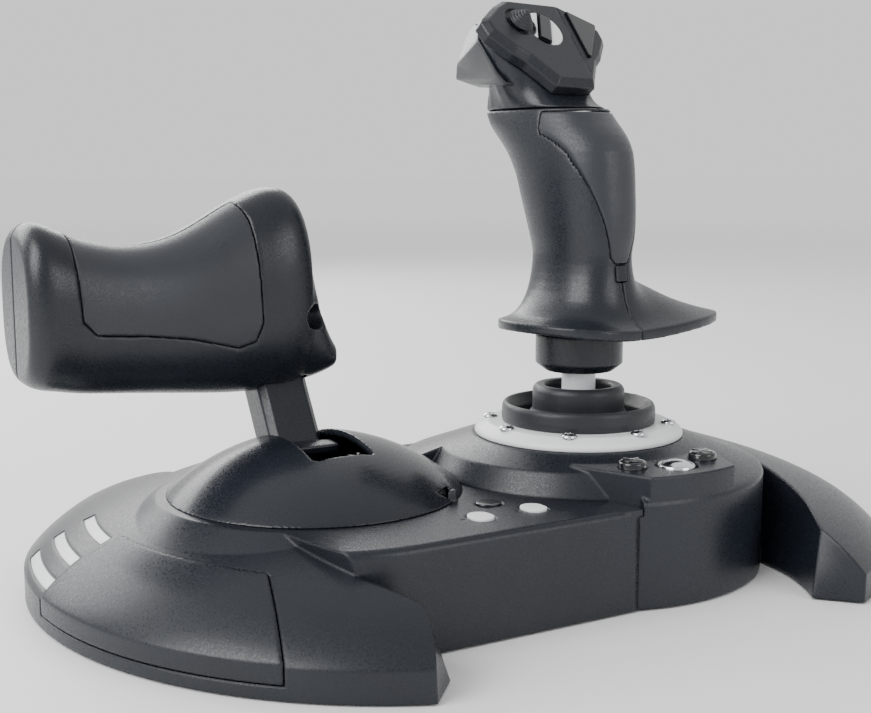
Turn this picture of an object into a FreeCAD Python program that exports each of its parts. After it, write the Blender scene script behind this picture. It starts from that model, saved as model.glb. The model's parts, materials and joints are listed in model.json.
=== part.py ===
import FreeCAD, Part
import math
import os

# Flight joystick with an attached throttle. Millimetres.
# +X is the user's right, +Y points away from the user, +Z is up.
# The origin lies on the table, midway between the two base units.

os.makedirs("parts", exist_ok=True)
V = FreeCAD.Vector
X_AXIS = V(1, 0, 0)
Y_AXIS = V(0, 1, 0)
Z_AXIS = V(0, 0, 1)
ORIGIN = V(0, 0, 0)

# ---- Driving sizes: the base -------------------------------------------------
base_half_width = 167.7
wing_radius = 135.9
wing_centre_x = base_half_width - wing_radius
wing_centre_y = 24.7
base_half_depth = 99.9
front_tip_angle = -math.degrees(math.asin((base_half_depth + wing_centre_y) / wing_radius))
rear_tip_angle = 36.0
wall = 2.6
foot_height = 0.8
tray_thickness = 2.4
seam_gap = 0.25
running_gap = 0.3
pin_gap = 0.05

stick_x = 35.5
drum_radius = 70.4
drum_top = 38.4
cone_top_radius = 41.0
cone_top = 48.9
ring_radius = 40.0
ring_hole_radius = 25.2
ring_height = 4.6
ring_screw_circle = 34.5
ring_screw_count = 8
ring_top = cone_top + ring_height

throttle_x = -70.5
dome_y = 12.7
dome_base_radius = 55.0
dome_base_z = 34.4
dome_top = 57.0
front_wall_y = -67.0
block_top = 36.0
block_slope = math.radians(0.5)

# ---- Driving sizes: the stick ------------------------------------------------
pivot_z = 42.0
stick_tilt = 15.0
shaft_radius = 6.5
socket_radius = 24.0
neck_radius = 17.7
neck_hole_radius = 12.8
neck_top = 67.8
boot_radius = 29.4
boot_top = 61.2
collar_radius = 16.75
collar_bottom = 73.2
rest_bottom = 87.4
rest_top = 91.8
grip_turn = 9.0
grip_wall = 2.4
head_tilt = math.radians(50.0)
head_y = 5.5
head_z = 186.0
plate_thickness = 6.5

# ---- Driving sizes: the throttle ---------------------------------------------
arm_pivot_y = 18.0
arm_pivot_z = 22.0
arm_lean = 33.0
arm_width = 20.0
arm_depth = 17.5
arm_travel = 64.0
sector_radius = 30.0
throttle_grip_left = -163.0
throttle_grip_right = -50.0
throttle_grip_y = 53.0


def rotated(shape, point, axis, degrees):
    copy = shape.copy()
    copy.rotate(point, axis, degrees)
    return copy


def moved(shape, x, y, z):
    copy = shape.copy()
    copy.translate(V(x, y, z))
    return copy


def box(x0, x1, y0, y1, z0, z1):
    return Part.makeBox(x1 - x0, y1 - y0, z1 - z0, V(x0, y0, z0))


def rod(radius, length, start, axis=Z_AXIS):
    return Part.makeCylinder(radius, length, start, axis)


def turned(points, x, y):
    """A solid of revolution about the vertical line at x, y. Points are (radius, height)."""
    outline = [V(x + r, y, z) for r, z in points]
    outline.append(outline[0])
    face = Part.Face(Part.makePolygon(outline))
    return face.revolve(V(x, y, 0), Z_AXIS, 360)


def slab(points, z0, z1):
    """A flat piece with a straight-sided outline given in plan."""
    outline = [V(x, y, z0) for x, y in points]
    outline.append(outline[0])
    return Part.Face(Part.makePolygon(outline)).extrude(V(0, 0, z1 - z0))


def smooth_wire(points):
    curve = Part.BSplineCurve()
    curve.interpolate(Points=points, PeriodicFlag=True)
    return Part.Wire(curve.toShape())


def oval_points(centre, across, along, half_a, half_b, power=2.4, count=20):
    """Points of a rounded rectangle: power 2 is an ellipse, higher is squarer."""
    points = []
    for i in range(count):
        t = 2 * math.pi * i / count
        c = math.cos(t)
        s = math.sin(t)
        u = half_a * math.copysign(abs(c) ** (2 / power), c)
        w = half_b * math.copysign(abs(s) ** (2 / power), s)
        points.append(centre + across * u + along * w)
    return points


def oval_slab(x, y, z0, z1, half_a, half_b):
    """An upright prism with an oval outline, longer along X or along Y."""
    end = min(half_a, half_b)
    ends = [(x - half_a + end, y - half_b + end), (x + half_a - end, y + half_b - end)]
    caps = [rod(end, z1 - z0, V(cx, cy, z0)) for cx, cy in ends]
    if half_a > half_b:
        caps.append(box(ends[0][0], ends[1][0], y - end, y + end, z0, z1))
    else:
        caps.append(box(x - end, x + end, ends[0][1], ends[1][1], z0, z1))
    return caps[0].fuse(caps[1:]).removeSplitter()


def mirror_x(shape):
    return shape.mirror(ORIGIN, X_AXIS)


def export(shape, name):
    solids = shape.Solids
    assert solids, name
    for solid in solids:
        assert solid.isValid(), name
    result = solids[0] if len(solids) == 1 else Part.makeCompound(solids)
    result.exportStep("parts/" + name + ".step")


# ---- The two wings: one shape, built on the right and mirrored to the left -----
# The top falls from the drum to a low rim along an arc; heights are given
# against the distance from the arc's centre.
rim_height = 10.7
wing_profile = [(60, 40.4), (75, 38.6), (88, 35.1), (99, 31.7), (108, 28.6), (113, 26.6),
                (118, 24.3), (124, 21.0), (129.5, 17.0), (133.5, 13.4), (wing_radius, rim_height)]


def wing_height(radius):
    for (r0, z0), (r1, z1) in zip(wing_profile, wing_profile[1:]):
        if radius <= r1:
            return z0 + (z1 - z0) * (radius - r0) / (r1 - r0)
    return rim_height


def wing_dome(inset, drop, bottom):
    """The turned body under the wing's top surface, moved in and down for the hollow."""
    curve = Part.BSplineCurve()
    top = [V(wing_centre_x + r - (inset if r > 120 else 0), wing_centre_y, z - drop) for r, z in wing_profile]
    curve.interpolate(top)
    first = top[0]
    last = top[-1]
    inner = V(first.x, first.y, bottom)
    outer = V(last.x, last.y, bottom)
    edges = [curve.toShape(), Part.makeLine(last, outer), Part.makeLine(outer, inner), Part.makeLine(inner, first)]
    ring = Part.Face(Part.Wire(edges)).revolve(V(wing_centre_x, wing_centre_y, 0), Z_AXIS, 360)
    core = rod(first.x - wing_centre_x + 1, first.z - bottom - 0.2, V(wing_centre_x, wing_centre_y, bottom))
    return ring.fuse(core)


def on_arc(angle, radius):
    a = math.radians(angle)
    return V(wing_centre_x + radius * math.cos(a), wing_centre_y + radius * math.sin(a), 0)


# The wing's inner wall starts on the drum and curls out to the tip. It leans
# outward as it rises, so it has one line on the table and one at tip_top.
tip_top = 24.0
inner_floor = [V(90, -34, 0), V(88, -50, 0), V(85.5, -62, 0), V(81, -74, 0), V(73.5, -87.5, 0)]
inner_crest = [V(99, -30, 0), V(96, -48, 0), V(91, -63, 0), V(85.5, -74, 0), V(80.5, -83.5, 0)]
rear_floor = [V(100, 70, 0), V(104, 84, 0), V(112, 97, 0)]
rear_crest = [V(104, 66, 0), V(108, 80, 0), V(117, 91, 0)]


def wing_plan(height, inset):
    """The wing's plan outline at one height, as a closed wire."""
    rise = height / tip_top

    def between(a, b):
        p = a + (b - a) * rise
        return V(p.x + inset, p.y + inset, height)

    def between_rear(a, b):
        p = a + (b - a) * rise
        return V(p.x + inset, p.y - inset, height)

    front = [between(a, b) for a, b in zip(inner_floor, inner_crest)]
    rear = [between_rear(a, b) for a, b in zip(rear_floor, rear_crest)]
    radius = wing_radius + 2 - inset
    lean = math.degrees(inset / wing_radius)
    tip = on_arc(front_tip_angle + lean * 1.2, radius) + V(0, 0, height)
    middle = on_arc(0, radius) + V(0, 0, height)
    back = on_arc(rear_tip_angle - lean * 1.2, radius) + V(0, 0, height)
    hub_front = V(stick_x, front[0].y, height)
    hub_rear = V(stick_x, rear[0].y, height)
    front_curve = Part.BSplineCurve()
    front_curve.interpolate(front)
    rear_curve = Part.BSplineCurve()
    rear_curve.interpolate(rear)
    edges = [
        Part.makeLine(hub_front, front[0]), front_curve.toShape(), Part.makeLine(front[-1], tip),
        Part.Arc(tip, middle, back).toShape(), Part.makeLine(back, rear[-1]), rear_curve.toShape(),
        Part.makeLine(rear[0], hub_rear), Part.makeLine(hub_rear, hub_front),
    ]
    return Part.Wire(Part.__sortEdges__(edges))


def wing_block(inset, bottom):
    top = 46.0
    return Part.makeLoft([wing_plan(bottom, inset), wing_plan(top, inset)], True, True)


base_bottom = foot_height
wing_outer = wing_dome(0, 0, base_bottom).common(wing_block(0, base_bottom))
wing_outer = wing_outer.common(box(0, 300, -base_half_depth, base_half_depth, 0, 90))
wing_inner = wing_dome(wall, wall, base_bottom - 1).common(wing_block(wall, base_bottom - 1))
wing_inner = wing_inner.common(box(0, 300, wall - base_half_depth, base_half_depth - wall, 0, 90))

# ---- Stick base shell: round drum, cone and right wing -------------------------
edge_round = 1.6
drum_outer = turned([(0, base_bottom), (drum_radius, base_bottom), (drum_radius, drum_top - edge_round),
                     (drum_radius - edge_round * 0.3, drum_top - edge_round * 0.3),
                     (drum_radius - edge_round, drum_top + 0.3), (cone_top_radius, cone_top), (0, cone_top)], stick_x, 0)
drum_inner = turned([(0, base_bottom - 1), (drum_radius - wall, base_bottom - 1), (drum_radius - wall, drum_top - wall),
                     (cone_top_radius, cone_top - wall), (0, cone_top - wall)], stick_x, 0)

# Control plateau: a raised box on the user's side of the drum, between two
# radial edges, whose top is level and whose front follows the drum wall.
plateau_top = 46.6
plateau_inner = ring_radius + 0.6
plateau_step = plateau_top - drum_top


def plateau(reach, z0, z1, inset=0.0):
    """The raised tongue for the buttons: narrow at the drum's front, wide at the ring."""
    near = 18.3 - inset
    wide = 31.0 - inset
    points = [(-near, -2 * reach), (-near, -68.0), (-wide, -38.2), (-20, -30), (20, -30), (wide, -38.2), (near, -68.0),
              (near, -2 * reach)]
    keep = slab([(stick_x + x, y) for x, y in points], z0, z1)
    return rod(reach, z1 - z0, V(stick_x, 0, z0)).common(keep)


plateau_outer = plateau(drum_radius - 0.5, base_bottom + 8, plateau_top)
plateau_hollow = plateau(drum_radius - wall, base_bottom + 7, plateau_top - wall, wall)

# On the throttle's side the cone drops to a low shelf; the throttle's panel
# reaches over this shelf up to the foot of the cone.
shelf_radius = 58.0
shelf_floor = 33.4
shelf_start = 17.5
shelf_end = 112.0


def shelf_zone(z0, z1, grow=0.0):
    """The sector of the drum that the throttle's panel covers."""
    reach = 2 * drum_radius
    spots = [(stick_x, 0)]
    for angle in (shelf_start - grow, (shelf_start + shelf_end) / 2, shelf_end + grow):
        a = math.radians(angle)
        spots.append((stick_x - 1.6 * reach * math.sin(a), -1.6 * reach * math.cos(a)))
    return slab(spots, z0, z1)


def shelf_cut(skin):
    """The volume taken off the drum; skin makes it larger for the hollow."""
    edge = shelf_radius - skin
    profile = [(edge - 6.0, 46.2), (edge, block_top + 0.8), (edge, shelf_floor - skin), (drum_radius + 9, shelf_floor - skin),
               (drum_radius + 9, 60), (edge - 6.0, 60)]
    return turned(profile, stick_x, 0).common(shelf_zone(0, 70, skin * 2))


shell_outer = drum_outer.fuse(wing_outer).fuse(plateau_outer)
shell_outer = shell_outer.cut(shelf_cut(0).cut(plateau_outer))
shell_inner = drum_inner.fuse(wing_inner).fuse(plateau_hollow)
shell_inner = shell_inner.cut(shelf_cut(wall).cut(plateau_hollow))
stick_shell = shell_outer.cut(shell_inner)
stick_shell = stick_shell.cut(rod(ring_hole_radius, 30, V(stick_x, 0, cone_top - 15)))

# Bosses under the trim ring take its screws.
screw_shank = 1.5
screw_head = 3.1
screw_depth = 7.0


def around(count, radius, start=0.0):
    for i in range(count):
        a = math.radians(start + 360.0 * i / count)
        yield stick_x + radius * math.cos(a), radius * math.sin(a)


ring_screw_start = 3.4
for x, y in around(ring_screw_count, ring_screw_circle, ring_screw_start):
    stick_shell = stick_shell.fuse(rod(screw_head, screw_depth, V(x, y, cone_top - screw_depth - 0.5)))
for x, y in around(ring_screw_count, ring_screw_circle, ring_screw_start):
    stick_shell = stick_shell.cut(rod(screw_shank + pin_gap, 20, V(x, y, cone_top - 10)))

# Buttons on the plateau: two round ones and a domed guide button between them.
button_radius = 4.9
button_travel = 1.5
guide_radius = 6.6
button_spots = [(stick_x - 15.0, -52.5), (stick_x + 16.2, -53.2)]
guide_spot = (stick_x + 0.8, -57.2)
led_spot = (stick_x - 1.5, -48.2)
led_radius = 0.8
for x, y in button_spots:
    stick_shell = stick_shell.cut(rod(button_radius + running_gap, 12, V(x, y, plateau_top - 8)))
stick_shell = stick_shell.cut(rod(guide_radius + running_gap, 12, V(*guide_spot, plateau_top - 8)))
guide_recess = 7.8
stick_shell = stick_shell.cut(rod(guide_recess, 12, V(*guide_spot, plateau_top - 1.2)))
stick_shell = stick_shell.cut(rod(led_radius, 12, V(*led_spot, plateau_top - 8)))
# Panel between the units: an oval mode button and two oval keys beside pin lamps.
oval_spots = {"mode_button": (-28.0, -35.8, 4.5, 3.7), "key_left": (-39.3, -48.7, 4.1, 5.0), "key_right": (-18.0, -48.2, 4.1, 5.0)}
lamp_spots = [(-45.8, -48.4), (-24.5, -48.0)]
oval_rise = 0.7
oval_depth = 4.4
oval_room = 6.0


def panel_z(y):
    return block_top + (y - front_wall_y) * math.tan(block_slope)


def panel_holes(shell):
    for x, y, a, b in oval_spots.values():
        hole = oval_slab(x, y, panel_z(y) - oval_room, panel_z(y) + 9, a + running_gap, b + running_gap)
        shell = shell.cut(hole)
    for x, y in lamp_spots:
        shell = shell.cut(rod(0.62, 20, V(x, y, panel_z(y) - 10)))
    return shell


stick_shell = panel_holes(stick_shell)
export(stick_shell, "stick_base_shell")

# ---- Trim ring and its screws ------------------------------------------------
trim = turned([(ring_hole_radius, cone_top), (ring_radius, cone_top), (ring_radius, cone_top + 1.6),
               (ring_radius - 0.8, cone_top + 2.6), (ring_radius - 5.0, ring_top), (ring_hole_radius, ring_top)], stick_x, 0)
for x, y in around(ring_screw_count, ring_screw_circle, ring_screw_start):
    trim = trim.cut(rod(screw_shank + pin_gap, 20, V(x, y, cone_top - 10)))
export(trim, "trim_ring")

head_rise = 1.5
cross_width = 0.8
screws = []
for x, y in around(ring_screw_count, ring_screw_circle, ring_screw_start):
    seat = ring_top
    screw = turned([(0, seat), (screw_head, seat), (screw_head, seat + 0.6), (screw_head - 1.0, seat + head_rise),
                    (0, seat + head_rise)], x, y)
    screw = screw.fuse(rod(screw_shank, screw_depth, V(x, y, seat - screw_depth)))
    for w, d in ((screw_head * 0.6, cross_width / 2), (cross_width / 2, screw_head * 0.6)):
        screw = screw.cut(box(x - w, x + w, y - d, y + d, seat + 0.4, seat + head_rise + 1))
    screws.append(screw)
Part.makeCompound(screws).exportStep("parts/ring_screws.step")

# ---- Plateau buttons -----------------------------------------------------------
button_rise = 2.4
flange_rise = 1.6


def push_button(x, y, radius, top, dome):
    """A domed cap on a plain barrel that slides in the panel."""
    low = plateau_top - wall - flange_rise
    body = rod(radius, plateau_top + top - low, V(x, y, low))
    crown = turned([(0, plateau_top + top), (radius, plateau_top + top), (radius * 0.8, plateau_top + top + dome * 0.6),
                    (radius * 0.4, plateau_top + top + dome), (0, plateau_top + top + dome)], x, y)
    return body.fuse(crown).removeSplitter()


export(push_button(*button_spots[0], button_radius, button_rise, 0.6), "button_left")
export(push_button(*button_spots[1], button_radius, button_rise, 0.6), "button_right")
export(push_button(*guide_spot, guide_radius, 0.6, 1.6), "guide_button")
export(rod(led_radius - 0.02, 3.4, V(*led_spot, plateau_top - 3.3)), "status_lens")

# ---- Boot: a fixed outer ring and a neck that tilts with the stick -------------
# The neck carries a ball-shaped skirt centred on the pivot, so it turns inside
# the outer ring without touching it.
outer_boot = [(ring_hole_radius, ring_top), (boot_radius, ring_top), (boot_radius + 0.3, ring_top + 2.5),
              (boot_radius, boot_top - 1.6), (boot_radius - 0.6, boot_top - 0.5), (boot_radius - 1.3, boot_top),
              (boot_radius - 1.9, boot_top - 0.5), (socket_radius + 0.9, boot_top - 4.6),
              (socket_radius + 0.9, cone_top - 1.5), (ring_hole_radius - 0.05, cone_top - 1.5),
              (ring_hole_radius - 0.05, ring_top)]
export(turned(outer_boot, stick_x, 0), "boot_ring")

skirt_low = pivot_z + 9.0
ball = Part.makeSphere(socket_radius, V(stick_x, 0, pivot_z))
ball_hollow = Part.makeSphere(socket_radius - 2.2, V(stick_x, 0, pivot_z))
skirt = ball.cut(ball_hollow).common(box(stick_x - 40, stick_x + 40, -40, 40, skirt_low, pivot_z + 40))
sleeve = turned([(neck_hole_radius, pivot_z + 16), (neck_radius, pivot_z + 15), (neck_radius, neck_top - 2.0),
                 (neck_radius - 0.9, neck_top - 0.5), (neck_radius - 1.8, neck_top), (neck_hole_radius + 0.6, neck_top - 0.3),
                 (neck_hole_radius, neck_top - 1.2)], stick_x, 0)
neck = skirt.fuse(sleeve)
neck = neck.cut(rod(shaft_radius + 0.02, 60, V(stick_x, 0, pivot_z)))
export(neck, "boot_neck")

# ---- Gimbal: cradle, ring and shaft ----------------------------------------------
pin_radius = 2.0
ring_outer = 19.0
ring_inner = 13.0
ring_half = 3.6
tray_top = base_bottom + tray_thickness
cradle_reach = 30.0
cradle_thick = 5.0
cradle_gap = socket_radius + 0.8
cradle = box(stick_x - 9, stick_x + 9, -cradle_reach, cradle_reach, tray_top, tray_top + 4)
for s in (-1, 1):
    post_near = s * cradle_gap
    post_far = s * cradle_reach
    low = min(post_near, post_far)
    high = max(post_near, post_far)
    post = box(stick_x - 6, stick_x + 6, low, high, tray_top, pivot_z)
    eye = rod(6.0, high - low, V(stick_x, low, pivot_z), Y_AXIS)
    cradle = cradle.fuse(post).fuse(eye)
cradle = cradle.common(box(-300, 300, -300, 300, 0, cone_top - wall - running_gap))
cradle = cradle.cut(rod(pin_radius + pin_gap, 2 * cradle_reach + 2, V(stick_x, -cradle_reach - 1, pivot_z), Y_AXIS))
export(cradle.removeSplitter(), "gimbal_cradle")

ring_body = rod(ring_outer, 2 * ring_half, V(stick_x, 0, pivot_z - ring_half))
ring_body = ring_body.cut(rod(ring_inner, 2 * ring_half, V(stick_x, 0, pivot_z - ring_half)))
ring_body = ring_body.cut(rod(pin_radius + pin_gap, 2 * ring_outer, V(stick_x - ring_outer, 0, pivot_z), X_AXIS))
for s in (-1, 1):
    start = V(stick_x, s * (ring_outer - 3.0), pivot_z)
    ring_body = ring_body.fuse(rod(pin_radius, cradle_reach - ring_outer + 2.5, start, V(0, s, 0)))
export(ring_body, "gimbal_ring")

shaft_top = 103.0
hub_radius = 9.0
hub_half = 5.5
tail_reach = 17.6
shaft = rod(shaft_radius, shaft_top - pivot_z, V(stick_x, 0, pivot_z))
hub = rod(hub_radius, 2 * hub_half, V(stick_x, 0, pivot_z - hub_half))
tail = rod(shaft_radius, tail_reach, V(stick_x, 0, pivot_z - tail_reach))
tail = tail.common(Part.makeSphere(tail_reach, V(stick_x, 0, pivot_z)))
cross_pin = rod(pin_radius, 2 * ring_outer - 1.0, V(stick_x - ring_outer + 0.5, 0, pivot_z), X_AXIS)
wire_bore = rod(3.0, 120, V(stick_x, 0, pivot_z + hub_half + 1))
shaft = shaft.fuse([hub, tail, cross_pin]).cut(wire_bore).removeSplitter()
clip_low = 99.0
shaft_groove = 0.8
groove = rod(shaft_radius + 1, 1.2, V(stick_x, 0, clip_low)).cut(rod(shaft_radius - shaft_groove, 1.2, V(stick_x, 0, clip_low)))
shaft = shaft.cut(groove)
export(shaft, "stick_shaft")
clip = rod(shaft_radius + 2.2, 1.0, V(stick_x, 0, clip_low + 0.1))
clip = clip.cut(rod(shaft_radius - shaft_groove + 0.02, 1.0, V(stick_x, 0, clip_low + 0.1)))
clip = clip.cut(box(stick_x - 2, stick_x + 2, -20, 0, clip_low, clip_low + 2))
export(clip, "retaining_clip")

# Centring spring: a coil between the tray and a plate under the shaft's tail.
spring_radius = 13.0
wire_radius = 0.9
plate_z = pivot_z - tail_reach - 0.2
spring_low = tray_top + 4.0 + 0.2
spring_height = plate_z - 2.0 - 0.2 - spring_low
spring_turns = 4
pitch = (spring_height - 2 * wire_radius) / spring_turns
helix = Part.makeHelix(pitch, pitch * spring_turns, spring_radius)
profile = Part.Wire(Part.makeCircle(wire_radius, V(spring_radius, 0, 0), Y_AXIS))
coil = helix.makePipeShell([profile], True, True)
coil = moved(coil, stick_x, 0, spring_low + wire_radius)
export(coil, "centring_spring")
export(rod(spring_radius + 2.5, 2.0, V(stick_x, 0, plate_z - 2.0)), "spring_plate")

roll_sensor = box(stick_x - 7, stick_x + 7, -cradle_reach - 8.3, -cradle_reach - 0.3, pivot_z - 12, pivot_z + 3.6)
for x, y in around(ring_screw_count, ring_screw_circle, ring_screw_start):
    boss_room = rod(screw_head + running_gap, screw_depth + 1.0, V(x, y, cone_top - screw_depth - 0.5 - running_gap))
    roll_sensor = roll_sensor.cut(boss_room)
export(roll_sensor, "roll_sensor")

# ---- Stick base: tray, board, ballast, feet ---------------------------------------


def tray_from(outline_solid):
    """The floor plate that closes a base shell from below."""
    return outline_solid.common(box(-300, 300, -300, 300, base_bottom, tray_top))


tray_screw_spots = [(stick_x + 52, 0), (stick_x, -52), (stick_x, 52), (stick_x - 52, 0), (-112, -52), (-112, 60),
                    (-60, -45), (-60, 50)]
tray_screw_radius = 2.6
screw_recess = 0.9


def screw_seats(tray_plate):
    for x, y in tray_screw_spots:
        tray_plate = tray_plate.cut(rod(tray_screw_radius + 0.1, screw_recess + 0.6, V(x, y, base_bottom)))
        tray_plate = tray_plate.cut(rod(1.4, 10, V(x, y, base_bottom)))
    return tray_plate


tray_outer = turned([(0, base_bottom), (drum_radius - wall - seam_gap, base_bottom),
                     (drum_radius - wall - seam_gap, tray_top), (0, tray_top)], stick_x, 0)
wing_floor = wing_block(wall + seam_gap, base_bottom - 0.5)
wing_rim = rod(wing_radius - wall - seam_gap, 30, V(wing_centre_x, wing_centre_y, 0))
tray_reach = base_half_depth - wall - seam_gap
wing_rim = wing_rim.common(box(-300, 300, -tray_reach, tray_reach, 0, 30))
tray = tray_outer.fuse(tray_from(wing_floor.common(wing_rim)))
knob_radius = 9.0
knob_hole = knob_radius + running_gap
tray = tray.cut(rod(knob_hole, 10, V(stick_x, 0, 0)))
foot_radius = 6.5
foot_spots = [(96.0, -80.0), (150.0, 0.0), (122.0, 84.0)]
foot_sink = 1.0
for x, y in foot_spots:
    tray = tray.cut(rod(foot_radius + 0.1, foot_sink, V(x, y, base_bottom)))


def foot_group(spots):
    feet = [rod(foot_radius, foot_height + foot_sink, V(x, y, 0)) for x, y in spots]
    return Part.makeCompound(feet)


export(screw_seats(tray), "stick_tray")

board_thickness = 1.6
ballast = box(110, 140, -10, 50, tray_top + 0.2, tray_top + 3.2)
export(ballast, "stick_ballast")

# Spring tension knob, turned from below with a coin slot.
knob = rod(knob_radius, 2.4, V(stick_x, 0, base_bottom - 0.3))
knob = knob.cut(box(stick_x - 7, stick_x + 7, -0.8, 0.8, base_bottom - 0.3, base_bottom + 0.9))
export(knob, "tension_knob")

# ---- Grip: everything is laid out facing forward, then turned on the shaft -------
GRIP_ANGLES = [2 * math.pi * i / 24 for i in range(24)]


def place(shape):
    return rotated(moved(shape, stick_x, 0, 0), V(stick_x, 0, 0), Z_AXIS, grip_turn)


def polar_oval(angle, half_a, half_b, power):
    c = abs(math.cos(angle)) / half_a
    s = abs(math.sin(angle)) / half_b
    return (c ** power + s ** power) ** (-1.0 / power)


def grip_section(z, y, half_a, half_b, power=2.35):
    """One level section of the handle, its centre carried forward by y."""
    points = []
    for a in GRIP_ANGLES:
        r = polar_oval(a, half_a, half_b, power)
        points.append(V(r * math.cos(a), y + r * math.sin(a), z))
    return points


# The hand rest's rim in plan: a broad leaf that reaches out to the user's right.
rest_rim = [(56.5, -21.5), (43, -28.0), (27, -31.5), (11, -32.2), (-4, -32.5), (-16.5, -31.3), (-25, -25.5), (-30, -16.5),
            (-32, -4), (-31, 8), (-24, 20), (-11, 30), (6, 34), (24, 30), (40, 17), (52, 0)]
waist = (-0.5, 14.6, 20.8)


def rim_radius(angle):
    """Distance from the stick axis to the rim in one direction."""
    curve = Part.BSplineCurve()
    points = [V(x, y, 0) for x, y in rest_rim]
    curve.interpolate(Points=points, PeriodicFlag=True)
    ray = Part.LineSegment(V(0, 0, 0), V(90 * math.cos(angle), 90 * math.sin(angle), 0))
    hits = curve.intersect(ray)
    return max(math.hypot(p.X, p.Y) for p in hits)


RIM = [rim_radius(a) for a in GRIP_ANGLES]
lobe_angle = math.radians(5.0)


rest_thick = 3.6
rest_low = [(-60, 90.6), (-30, 89.9), (-15, 88.3), (0, 87.5), (15, 87.9), (30, 88.9), (56, 90.1), (80, 90.4)]


def rest_edge(x):
    """Height of the rim's lower edge: lowest in the middle, rising to both sides."""
    for (x0, z0), (x1, z1) in zip(rest_low, rest_low[1:]):
        if x <= x1:
            return z0 + (z1 - z0) * (x - x0) / (x1 - x0)
    return rest_low[-1][1]


def rest_section(spread, climb, lift):
    """A section between the waist (spread 0) and the rim (spread 1)."""
    points = []
    for a, rim in zip(GRIP_ANGLES, RIM):
        y, half_a, half_b = waist
        inner = polar_oval(a, half_a, half_b, 2.35)
        r = inner + (rim - inner) * spread
        side = max(0.0, math.cos(a - lobe_angle)) ** 2
        x = r * math.cos(a)
        base = rest_edge(x) * spread + rest_edge(0) * (1 - spread) + rest_thick
        points.append(V(x, y * (1 - spread) + r * math.sin(a), base + climb + lift * side))
    return points


rest_levels = [(1.0, 0.0, 0.0), (0.8, 1.2, 2.0), (0.55, 3.4, 4.6), (0.32, 7.4, 6.0), (0.14, 13.0, 4.4), (0.03, 20.0, 1.2)]
handle_levels = [(118, -0.5, 14.4, 20.8), (124, -0.3, 15.0, 22.0), (133, 1.0, 15.7, 23.6), (141, 2.6, 16.3, 24.6),
                 (148, 4.0, 16.8, 25.4), (156, 7.0, 17.2, 27.2), (162, 11.5, 17.3, 28.4), (167, 16.2, 17.3, 28.4),
                 (172, 19.6, 17.0, 27.4)]


def between(rows, steps):
    """Rows of points with smooth in-between rows added."""
    result = []
    last = len(rows) - 1
    for i in range(last):
        p0, p1, p2, p3 = rows[max(i - 1, 0)], rows[i], rows[i + 1], rows[min(i + 2, last)]
        for k in range(steps):
            t = k / steps
            blend = [a * (-t + 2 * t * t - t ** 3) + b * (2 - 5 * t * t + 3 * t ** 3) +
                     c * (t + 4 * t * t - 3 * t ** 3) + d * (t ** 3 - t * t)
                     for a, b, c, d in zip(p0, p1, p2, p3)]
            result.append([p * 0.5 for p in blend])
    return result + [rows[last]]


levels = [rest_section(*level) for level in rest_levels] + [grip_section(*level) for level in handle_levels]
skirt = [V(p.x, p.y, rest_bottom - 4) for p in levels[0]]
handle = Part.makeLoft([smooth_wire(p) for p in [skirt] + between(levels, 2)], True, True)
under = [V(x, -80, z) for x, z in rest_low]
under_curve = Part.BSplineCurve()
under_curve.interpolate(under)
low_left = V(under[0].x, -80, 60)
low_right = V(under[-1].x, -80, 60)
under_edges = [under_curve.toShape(), Part.makeLine(under[-1], low_right), Part.makeLine(low_right, low_left),
               Part.makeLine(low_left, under[0])]
handle = handle.cut(Part.Face(Part.Wire(under_edges)).extrude(V(0, 160, 0)))

hollow_levels = [(104, 0, 14.4 - grip_wall, 20.8 - grip_wall)]
hollow_levels += [(z, y, a - grip_wall, b - grip_wall) for z, y, a, b in handle_levels]
hollow_levels[-1] = (173, 19.6, 17.0 - grip_wall, 27.4 - grip_wall)
handle_hollow = Part.makeLoft([smooth_wire(grip_section(*level)) for level in hollow_levels], True, False)
spigot_radius = 11.0
handle_shell = handle.cut(handle_hollow).cut(rod(spigot_radius + 0.02, 24, V(0, 0, rest_bottom - 5)))

# Palm pad on the user's side, wide at the top and narrow at the bottom.
pad_top = 170.6
pad_half = [(17.6, pad_top), (17.0, 165.0), (14.0, 151.0), (8.4, 132.0), (4.4, 117.0), (2.8, 115.2)]
pad_front = 6.0


def facing_prism(half_outline, y0, y1, grow=0.0):
    """A prism along Y whose outline is symmetric about the handle's mid-plane."""
    right = [(x + grow, z) for x, z in half_outline]
    right[0] = (right[0][0], right[0][1] + grow)
    right[-1] = (right[-1][0], right[-1][1] - grow)
    ring_points = right + [(-x, z) for x, z in reversed(right)]
    outline = [V(x, y0, z) for x, z in ring_points]
    outline.append(outline[0])
    return Part.Face(Part.makePolygon(outline)).extrude(V(0, y1 - y0, 0))


pad = handle_shell.common(facing_prism(pad_half, -45, pad_front))
handle_shell = handle_shell.cut(facing_prism(pad_half, -45, pad_front + seam_gap, seam_gap))
tab_half = [(2.8, 114.4), (2.8, 108.6)]
tab = handle_shell.common(facing_prism(tab_half, -45, 0))
handle_shell = handle_shell.cut(facing_prism(tab_half, -45, 0, seam_gap))
left_half = handle_shell.common(box(-90, -seam_gap / 2, -90, 90, 60, 200))
right_half = handle_shell.common(box(seam_gap / 2, 90, -90, 90, 60, 200))


def largest(shape):
    return max(shape.Solids, key=lambda s: s.Volume)


export(place(largest(left_half)), "grip_left_shell")
export(place(largest(right_half)), "grip_right_shell")
export(place(largest(pad)), "palm_pad")
export(place(largest(tab)), "grip_tab")

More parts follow.
